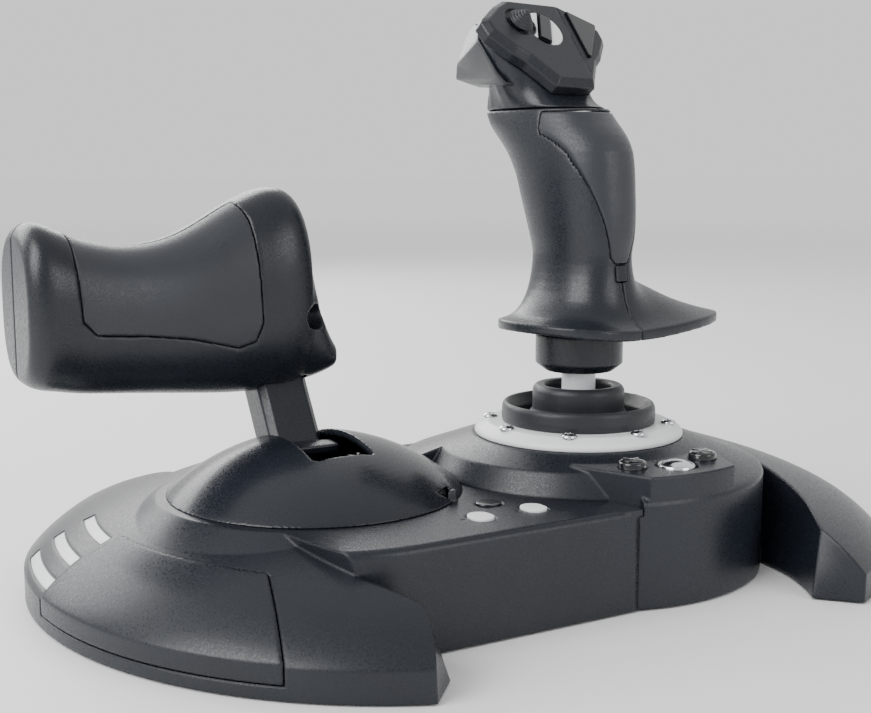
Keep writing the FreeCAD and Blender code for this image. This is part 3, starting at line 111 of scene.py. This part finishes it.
soft = gn.new("ShaderNodeBevel")
soft.samples = 6
gl.new(g_in.outputs["Edge"], soft.inputs["Radius"])
bump = gn.new("ShaderNodeBump")
bump.inputs["Distance"].default_value = 0.0002
gl.new(g_in.outputs["Depth"], bump.inputs["Strength"])
gl.new(fine.outputs["Fac"], bump.inputs["Height"])
gl.new(soft.outputs["Normal"], bump.inputs["Normal"])
plain = gn.new("ShaderNodeNewGeometry")
dot = gn.new("ShaderNodeVectorMath")
dot.operation = "DOT_PRODUCT"
gl.new(soft.outputs["Normal"], dot.inputs[0])
gl.new(plain.outputs["Normal"], dot.inputs[1])
edge = gn.new("ShaderNodeMapRange")
edge.inputs["From Min"].default_value = 0.985
edge.inputs["From Max"].default_value = 0.80
gl.new(dot.outputs["Value"], edge.inputs["Value"])
# painted edge highlight: the edge mask times the slow noise marks where a lighter tone is painted along the edges
painted_edge_highlight = gn.new("ShaderNodeMath")
painted_edge_highlight.operation = "MULTIPLY"
gl.new(edge.outputs["Result"], painted_edge_highlight.inputs[0])
gl.new(slow.outputs["Fac"], painted_edge_highlight.inputs[1])
gl.new(fine.outputs["Fac"], g_out.inputs["Value"])
gl.new(slow.outputs["Fac"], g_out.inputs["Drift"])
gl.new(painted_edge_highlight.outputs["Value"], g_out.inputs["Edge_Highlight"])
gl.new(bump.outputs["Normal"], g_out.inputs["Normal"])
print("shared effects:", [g.name for g in bpy.data.node_groups])

# %% [markdown]
# ## Materials
# One builder makes every plastic and rubber: a base colour that drifts a little, a roughness that follows
# the grain, a painted highlight that lightens the edges and the grain's own relief. What sets the pieces apart is the
# numbers.


# %% One builder for moulded materials
def moulded(name, colour, rough, scale=1600.0, depth=0.25, edge_size=0.0006, coat=0.0, sheen=0.0, metal=0.0,
            spread=0.10, edge_highlight=0.35, drift=0.25):
    material = bpy.data.materials.new(name)
    material.use_nodes = True
    tree = material.node_tree
    shader = tree.nodes["Principled BSDF"]
    effect = tree.nodes.new("ShaderNodeGroup")
    effect.node_tree = grain_group
    effect.inputs["Scale"].default_value = scale
    effect.inputs["Depth"].default_value = depth
    effect.inputs["Edge"].default_value = edge_size
    tone = tree.nodes.new("ShaderNodeMapRange")
    tone.inputs["From Min"].default_value = 0.3
    tone.inputs["From Max"].default_value = 0.7
    tone.inputs["To Min"].default_value = 1.0 - drift
    tone.inputs["To Max"].default_value = 1.0 + drift
    tree.links.new(effect.outputs["Drift"], tone.inputs["Value"])
    base = tree.nodes.new("ShaderNodeVectorMath")
    base.operation = "SCALE"
    base.inputs[0].default_value = colour
    tree.links.new(tone.outputs["Result"], base.inputs["Scale"])
    # painted highlight: along the edges the base colour is mixed toward a lighter tone, scaled per material
    lift = tree.nodes.new("ShaderNodeMix")
    lift.data_type = "RGBA"
    lift.inputs["B"].default_value = (*[min(1.0, c * 2.2 + 0.02) for c in colour], 1.0)
    tree.links.new(base.outputs["Vector"], lift.inputs["A"])
    amount = tree.nodes.new("ShaderNodeMath")
    amount.operation = "MULTIPLY"
    amount.inputs[1].default_value = edge_highlight
    tree.links.new(effect.outputs["Edge_Highlight"], amount.inputs[0])
    tree.links.new(amount.outputs["Value"], lift.inputs["Factor"])
    tree.links.new(lift.outputs["Result"], shader.inputs["Base Color"])
    gloss = tree.nodes.new("ShaderNodeMapRange")
    gloss.inputs["From Min"].default_value = 0.35
    gloss.inputs["From Max"].default_value = 0.65
    gloss.inputs["To Min"].default_value = max(0.02, rough - spread)
    gloss.inputs["To Max"].default_value = min(1.0, rough + spread)
    tree.links.new(effect.outputs["Value"], gloss.inputs["Value"])
    tree.links.new(gloss.outputs["Result"], shader.inputs["Roughness"])
    tree.links.new(effect.outputs["Normal"], shader.inputs["Normal"])
    shader.inputs["Metallic"].default_value = metal
    shader.inputs["Specular IOR Level"].default_value = 0.42
    shader.inputs["Coat Weight"].default_value = coat
    shader.inputs["Coat Roughness"].default_value = 0.12
    shader.inputs["Sheen Weight"].default_value = sheen
    shader.inputs["Sheen Roughness"].default_value = 0.5
    return material


ink = (0.0085, 0.0112, 0.0165)
materials = {
    "base_plastic": moulded("base_plastic", ink, 0.33, scale=1500, depth=0.18, edge_size=0.0016,
                             edge_highlight=0.22),
    "dome_plastic": moulded("dome_plastic", ink, 0.27, scale=1700, depth=0.08, coat=0.1, edge_highlight=0.2),
    "grip_plastic": moulded("grip_plastic", (0.0095, 0.0122, 0.0172), 0.32, scale=1500, depth=0.25),
    "soft_pad": moulded("soft_pad", (0.018, 0.021, 0.027), 0.42, scale=1300, depth=0.35, sheen=0.15),
    "head_plastic": moulded("head_plastic", (0.010, 0.012, 0.016), 0.34, scale=1700, depth=0.15),
    "trigger_plastic": moulded("trigger_plastic", (0.020, 0.022, 0.026), 0.36, scale=1700, depth=0.06, edge_highlight=0.1),
    "black_rubber": moulded("black_rubber", (0.012, 0.014, 0.018), 0.44, scale=1200, depth=0.3, sheen=0.1),
    "white_plastic": moulded("white_plastic", (0.80, 0.81, 0.82), 0.33, scale=1700, depth=0.08, edge_highlight=0.0, drift=0.03),
    "tray_plastic": moulded("tray_plastic", (0.030, 0.033, 0.038), 0.5, scale=900, depth=0.5),
    "black_gloss": moulded("black_gloss", (0.006, 0.007, 0.009), 0.07, scale=1700, depth=0.02, edge_size=0.0004,
                           coat=0.6, spread=0.03, edge_highlight=0.15),
    "bright_metal": moulded("bright_metal", (0.74, 0.75, 0.77), 0.14, scale=900, depth=0.03, edge_size=0.0003, metal=1.0,
                            spread=0.06, edge_highlight=0.0, drift=0.05),
    "shaft_plastic": moulded("shaft_plastic", (0.74, 0.75, 0.77), 0.3, scale=1500, depth=0.08, edge_highlight=0.0, drift=0.03),
    "steel": moulded("steel", (0.52, 0.53, 0.54), 0.3, scale=700, depth=0.1, metal=1.0, edge_highlight=0.0),
    "lens": moulded("lens", (0.008, 0.008, 0.010), 0.1, depth=0.02, coat=0.5, edge_highlight=0.0),
    "board": moulded("board", (0.02, 0.10, 0.045), 0.35, scale=500, depth=0.2),
}
record_slots = {part["node"]: part["material_slot"] for part in frame["record"]["subparts"]}
for name, node in nodes.items():
    node.data.materials.clear()
    node.data.materials.append(materials[record_slots[name]])
print("materials:", len(materials))


# %% [markdown]
# ## Soft moulded skins
# A mould has no knife edges and no facets. Each shell is copied from the frame, its loose triangles are
# merged, and the skin is evened out on a fine grid and relaxed, so its edges turn over softly as the
# real plastic does, while its size stays that of the frame.


# %% Copy a shell and soften it
def deselect():
    for thing in bpy.context.selected_objects:
        thing.select_set(False)


def take(node_name, piece_name):
    deselect()
    source = nodes[node_name]
    piece = bpy.data.objects.new(piece_name, source.data.copy())
    bpy.context.scene.collection.objects.link(piece)
    piece.select_set(True)
    bpy.context.view_layer.objects.active = piece
    bpy.ops.object.mode_set(mode="EDIT")
    bpy.ops.mesh.select_all(action="SELECT")
    bpy.ops.mesh.remove_doubles(threshold=0.00001)
    bpy.ops.object.mode_set(mode="OBJECT")
    return piece


def body_name(node_name):
    for body, members in frame["record"]["behaviour"]["bodies"].items():
        if node_name in members:
            return body


def soften(node_name, cell, rounds, keep=1.0):
    piece = take(node_name, node_name + "_skin")
    grid = piece.modifiers.new("grid", "REMESH")
    grid.mode = "VOXEL"
    grid.voxel_size = cell
    grid.use_smooth_shade = True
    relax = piece.modifiers.new("relax", "SMOOTH")
    relax.factor = 0.5
    relax.iterations = rounds
    if keep < 1.0:
        thin = piece.modifiers.new("thin", "DECIMATE")
        thin.ratio = keep
    for modifier in list(piece.modifiers):
        bpy.ops.object.modifier_apply(modifier=modifier.name)
    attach(piece, body_name(node_name))
    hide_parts(node_name)
    piece.data.materials.clear()
    piece.data.materials.append(materials[record_slots[node_name]])
    print(piece.name, len(piece.data.polygons), "faces")
    return piece


fine_cell = 0.65 * mm
grip_cell = 0.48 * mm
grip_keep = 0.45
soft_list = {
    "grip_left_shell": (grip_cell, 9, grip_keep), "grip_right_shell": (grip_cell, 9, grip_keep),
    "palm_pad": (0.36 * mm, 6),
    "grip_tab": (0.3 * mm, 2), "head_shell": (0.55 * mm, 8), "head_plate": (0.32 * mm, 3),
    "throttle_grip_front": (fine_cell, 5), "throttle_grip_back": (fine_cell, 5), "throttle_inlay": (0.4 * mm, 4),
    "throttle_arm": (0.45 * mm, 3), "dome_cover": (0.6 * mm, 3), "wing_cover": (0.5 * mm, 3),
    "grip_collar": (0.45 * mm, 2), "trim_ring": (0.4 * mm, 3),
    "boot_ring": (0.4 * mm, 6), "boot_neck": (0.4 * mm, 6),
    "mode_button": (0.2 * mm, 4), "key_left": (0.2 * mm, 4), "key_right": (0.2 * mm, 4),
}
skins = {}
for name, choice in soft_list.items():
    skins[name] = soften(name, *choice)

# %% [markdown]
# ## Turned and pressed details
# Small bright parts carry the look up close. Anything round is one outline spun about its own axis, as it
# would be turned or moulded. Screws get a cross cut with crossed bars, and caps a raised cross.


# %% Helpers for new pieces
def finish_piece(piece, material, body, stands_for=()):
    piece.data.materials.clear()
    piece.data.materials.append(materials[material])
    deselect()
    piece.select_set(True)
    bpy.context.view_layer.objects.active = piece
    bpy.ops.object.transform_apply(location=True, rotation=True, scale=True)
    bpy.ops.object.shade_smooth_by_angle(angle=math.radians(40))
    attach(piece, body)
    if stands_for:
        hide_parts(*stands_for)
    print(piece.name, len(piece.data.polygons), "faces")
    return piece


def spun(name, outline, x, y, steps=72):
    """A closed skin from (radius, height) pairs in millimetres, first and last on the axis."""
    mesh = bpy.data.meshes.new(name)
    points = [(x + r * mm, y, h * mm) for r, h in outline]
    mesh.from_pydata(points, [(i, i + 1) for i in range(len(points) - 1)], [])
    piece = bpy.data.objects.new(name, mesh)
    bpy.context.scene.collection.objects.link(piece)
    deselect()
    piece.select_set(True)
    bpy.context.view_layer.objects.active = piece
    bpy.ops.object.mode_set(mode="EDIT")
    bpy.ops.mesh.select_all(action="SELECT")
    bpy.ops.mesh.spin(steps=steps, angle=2 * math.pi, center=(x, y, 0), axis=(0, 0, 1))
    bpy.ops.mesh.select_all(action="SELECT")
    bpy.ops.mesh.remove_doubles(threshold=0.00002)
    bpy.ops.mesh.normals_make_consistent(inside=False)
    bpy.ops.object.mode_set(mode="OBJECT")
    return piece


def apply_all(piece):
    deselect()
    piece.select_set(True)
    bpy.context.view_layer.objects.active = piece
    for modifier in list(piece.modifiers):
        bpy.ops.object.modifier_apply(modifier=modifier.name)


def join(pieces, name):
    deselect()
    for piece in pieces:
        piece.select_set(True)
    bpy.context.view_layer.objects.active = pieces[0]
    bpy.ops.object.join()
    pieces[0].name = name
    return pieces[0]


def block(name, size, place, turn=0.0, round_off=0.0):
    deselect()
    bpy.ops.mesh.primitive_cube_add(size=1.0, location=place, rotation=(0, 0, turn))
    piece = bpy.context.object
    piece.name = name
    piece.scale = size
    bpy.ops.object.transform_apply(location=True, rotation=True, scale=True)
    if round_off:
        bpy.ops.object.mode_set(mode="EDIT")
        bpy.ops.mesh.select_all(action="SELECT")
        bpy.ops.mesh.bevel(offset=round_off, segments=3, affect="EDGES")
        bpy.ops.object.mode_set(mode="OBJECT")
    return piece


# %% [markdown]
# ## Cross-head screws of the trim ring
# Eight plated pan-head screws hold the white ring. One head is modelled and its cross is cut with two
# crossed bars, then it is copied round the circle.

# %% Ring screws
stick_at = Vector((35.5 * mm, 0, 0))
ring_low, ring_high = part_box("ring_screws")
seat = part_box("trim_ring")[1].z
head_radius = 2.9 * mm
head_height = 1.5 * mm
circle = 34.5 * mm
first_angle = math.radians(3.4)
heads = []
for i in range(8):
    angle = first_angle + i * math.pi / 4
    x = stick_at.x + circle * math.cos(angle)
    y = stick_at.y + circle * math.sin(angle)
    z = seat / mm
    head = spun("screw_%d" % i, [(0, z - 2), (1.4, z - 2), (1.4, z - 0.05), (2.9, z - 0.05), (2.9, z + 0.45),
                                 (2.6, z + 0.85), (2.0, z + 1.2), (1.2, z + 1.42), (0, z + 1.5)], x, y, 32)
    turn = 0.4 + 0.7 * i
    bars = [block("bar", (3.4 * mm, 0.62 * mm, 2 * mm), (x, y, seat + 1.55 * mm), turn),
            block("bar", (0.62 * mm, 3.4 * mm, 2 * mm), (x, y, seat + 1.55 * mm), turn)]
    for bar in bars:
        cut = head.modifiers.new("cross", "BOOLEAN")
        cut.operation = "DIFFERENCE"
        cut.object = bar
        apply_all(head)
        bpy.data.objects.remove(bar)
    heads.append(head)
screws = join(heads, "ring_screw_heads")
finish_piece(screws, "bright_metal", "base", ["ring_screws"])

# %% [markdown]
# ## Gloss caps with a cross
# The two round buttons are glossy caps with a raised cross that catches the light from every side.


# %% Plateau buttons
def cross_cap(node_name):
    low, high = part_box(node_name)
    x = (low.x + high.x) / 2
    y = (low.y + high.y) / 2
    r = (high.x - low.x) / 2 / mm
    z = high.z / mm
    outline = [(0, low.z / mm), (r, low.z / mm), (r, z - 1.3), (r - 0.12, z - 0.85), (r - 0.5, z - 0.5),
               (r - 1.1, z - 0.28), (r * 0.45, z - 0.1), (0, z - 0.06)]
    cap = spun(node_name + "_cap", outline, x, y, 64)
    bars = [block("cross", (2 * r * 0.80 * mm, 1.2 * mm, 0.9 * mm), (x, y, (z - 0.32) * mm), 0.4, 0.25 * mm),
            block("cross", (1.2 * mm, 2 * r * 0.80 * mm, 0.9 * mm), (x, y, (z - 0.32) * mm), 0.4, 0.25 * mm)]
    cap = join([cap] + bars, node_name + "_cap")
    return finish_piece(cap, "black_gloss", node_name, [node_name])


cross_cap("button_left")
cross_cap("button_right")

# %% [markdown]
# ## Guide dome
# The guide button is a bright dome. A shallow groove and a raised centre give it the broken reflections
# of a pressed metal cap. It carries no mark.

# %% Guide dome
low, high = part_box("guide_button")
z = high.z / mm
r = (high.x - low.x) / 2 / mm
dome = [(0, low.z / mm), (r, low.z / mm), (r, z - 1.9), (r - 0.15, z - 1.65), (r - 0.5, z - 1.5), (r - 0.9, z - 1.62),
        (r - 1.2, z - 1.45), (r * 0.62, z - 0.75), (r * 0.4, z - 0.32), (r * 0.2, z - 0.08), (0, z)]
guide = spun("guide_dome", dome, (low.x + high.x) / 2, (low.y + high.y) / 2, 96)
finish_piece(guide, "bright_metal", "guide", ["guide_button"])

# %% [markdown]
# ## The head's own frame
# Everything on the sloping face is modelled flat: x to the right, y up the slope and z out of the face.
# One matrix then lays it on the face, which leans back and is turned a little to the left.

# %% Face frame and the ridged hat
from mathutils import Matrix

grip_turn = Matrix.Rotation(math.radians(9.0), 4, "Z")
to_grip = Matrix.Translation(stick_at) @ grip_turn
to_face = to_grip @ Matrix.Translation((0, 5.5 * mm, 186 * mm)) @ Matrix.Rotation(math.radians(50.0), 4, "X")

hat_x, hat_v = -12.6 * mm, 24.6 * mm
ridges = [(0, -6.0), (2.0, -6.0), (2.0, 0.3), (5.0, 0.3), (5.25, 0.45)]
for i in range(6):
    r = 5.25 - i * 0.8
    h = 0.75 + i * 0.85
    ridges += [(r, h), (r - 0.1, h + 0.26), (r - 0.34, h + 0.36), (r - 0.6, h + 0.24)]
ridges += [(0.6, 5.5), (0.35, 5.75), (0, 5.8)]
hat = spun("hat_ridged", ridges, hat_x, hat_v, 64)
hat.data.transform(to_face)
finish_piece(hat, "black_rubber", "hat", ["hat_cap"])

# %% [markdown]
# ## Trigger hood
# The trigger is a wide smooth hood that hangs over the front of the head. It is closed by its own corner
# points, opened at the back where it meets the head, and given a wall, as a moulding has.

# %% Trigger hood
corners = [(29.2, 27.0, 197.3), (25.0, 31.5, 203.0), (25.8, 20.5, 185.0), (24.0, 17.0, 180.6), (22.0, 30.1, 183.4), (14.0, 48.9, 183.0),
           (12.5, 59.6, 185.6), (12.9, 58.4, 191.5), (13.2, 52.6, 201.2), (14.0, 46.4, 206.4), (9.0, 60.0, 185.2),
           (9.0, 49.0, 182.0)]
points = [(s * x * mm, y * mm, z * mm) for x, y, z in corners for s in (-1, 1)]
mesh = bpy.data.meshes.new("trigger_hood")
mesh.from_pydata(points, [], [])
hood = bpy.data.objects.new("trigger_hood", mesh)
bpy.context.scene.collection.objects.link(hood)
deselect()
hood.select_set(True)
bpy.context.view_layer.objects.active = hood
bpy.ops.object.mode_set(mode="EDIT")
bpy.ops.mesh.select_all(action="SELECT")
bpy.ops.mesh.convex_hull()
bpy.ops.mesh.select_all(action="SELECT")
bpy.ops.mesh.dissolve_limited(angle_limit=math.radians(3))
bpy.ops.mesh.select_all(action="DESELECT")
shape = bmesh.from_edit_mesh(hood.data)
for face in shape.faces:
    face.select = face.normal.y < -0.35 or (face.normal.z > 0.5 and face.calc_center_median().y < 0.04)
bmesh.update_edit_mesh(hood.data)
bpy.ops.mesh.delete(type="FACE")
bpy.ops.object.mode_set(mode="OBJECT")
wall = hood.modifiers.new("wall", "SOLIDIFY")
wall.thickness = 1.4 * mm
wall.offset = -1
edges = hood.modifiers.new("edges", "BEVEL")
edges.width = 1.3 * mm
edges.segments = 4
edges.limit_method = "ANGLE"
edges.angle_limit = math.radians(25)
apply_all(hood)
hood.data.transform(to_grip)
finish_piece(hood, "trigger_plastic", "trigger", ["trigger"])

# %% [markdown]
# ## Floor, light and camera
# A pale floor and three large soft lights: one high on the user's left, one overhead and behind for the
# bright rims on level faces, and a weak one in front.

# %% Stage
floor_half = 25.0
bpy.ops.mesh.primitive_plane_add(size=2 * floor_half, location=(0, 0, 0))
floor = bpy.context.object
floor.name = "floor"
floor_paint = bpy.data.materials.new("floor_paint")
floor_paint.use_nodes = True
paint = floor_paint.node_tree.nodes["Principled BSDF"]
paint.inputs["Base Color"].default_value = (0.90, 0.90, 0.90, 1.0)
paint.inputs["Roughness"].default_value = 0.6
paint_tree = floor_paint.node_tree
reach = paint_tree.nodes.new("ShaderNodeTexCoord")
away = paint_tree.nodes.new("ShaderNodeVectorMath")
away.operation = "LENGTH"
paint_tree.links.new(reach.outputs["Object"], away.inputs[0])
fade = paint_tree.nodes.new("ShaderNodeMapRange")
fade.inputs["From Min"].default_value = 0.5
fade.inputs["From Max"].default_value = 4.0
paint_tree.links.new(away.outputs["Value"], fade.inputs["Value"])
glow = paint_tree.nodes.new("ShaderNodeEmission")
glow.inputs["Strength"].default_value = 0.98
blend = paint_tree.nodes.new("ShaderNodeMixShader")
paint_tree.links.new(fade.outputs["Result"], blend.inputs["Fac"])
paint_tree.links.new(paint.outputs["BSDF"], blend.inputs[1])
paint_tree.links.new(glow.outputs["Emission"], blend.inputs[2])
paint_tree.links.new(blend.outputs["Shader"], paint_tree.nodes["Material Output"].inputs["Surface"])
floor.data.materials.append(floor_paint)
floor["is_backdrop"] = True

world = bpy.data.worlds.new("studio")
bpy.context.scene.world = world
world.use_nodes = True
sky = world.node_tree
direction = sky.nodes.new("ShaderNodeTexCoord")
split = sky.nodes.new("ShaderNodeSeparateXYZ")
sky.links.new(direction.outputs["Generated"], split.inputs["Vector"])
depth = sky.nodes.new("ShaderNodeMapRange")
depth.inputs["From Min"].default_value = -0.5
depth.inputs["From Max"].default_value = 0.5
depth.inputs["To Min"].default_value = 0.7
depth.inputs["To Max"].default_value = 1.0
sky.links.new(split.outputs["Y"], depth.inputs["Value"])
sky.nodes["Background"].inputs["Color"].default_value = (1.0, 1.0, 1.0, 1.0)
sky.links.new(depth.outputs["Result"], sky.nodes["Background"].inputs["Strength"])


def softbox(name, place, target, size, power):
    data = bpy.data.lights.new(name, "AREA")
    data.shape = "RECTANGLE"
    data.size, data.size_y = size
    data.energy = power
    lamp = bpy.data.objects.new(name, data)
    bpy.context.scene.collection.objects.link(lamp)
    lamp.location = place
    lamp.rotation_euler = (Vector(target) - Vector(place)).to_track_quat("-Z", "Y").to_euler()
    return lamp


softbox("left_box", (-1.1, -0.2, 0.8), (0, 0, 0.08), (0.9, 0.9), 18.0)
softbox("back_box", (-0.2, 1.2, 0.7), (0, 0, 0.05), (1.6, 0.7), 16.0)
softbox("front_box", (0.5, -1.3, 0.6), (0, 0, 0.08), (0.9, 0.7), 6.0)

camera_data = bpy.data.cameras.new("view")
camera_data.sensor_width = 36.0
camera_data.lens = 53.0
camera = bpy.data.objects.new("view", camera_data)
bpy.context.scene.collection.objects.link(camera)
camera.location = (-0.2571, -0.3962, 0.1486)
camera.rotation_euler = (math.radians(90 - 8.19), 0, math.radians(-30))
bpy.context.scene.camera = camera

low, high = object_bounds()
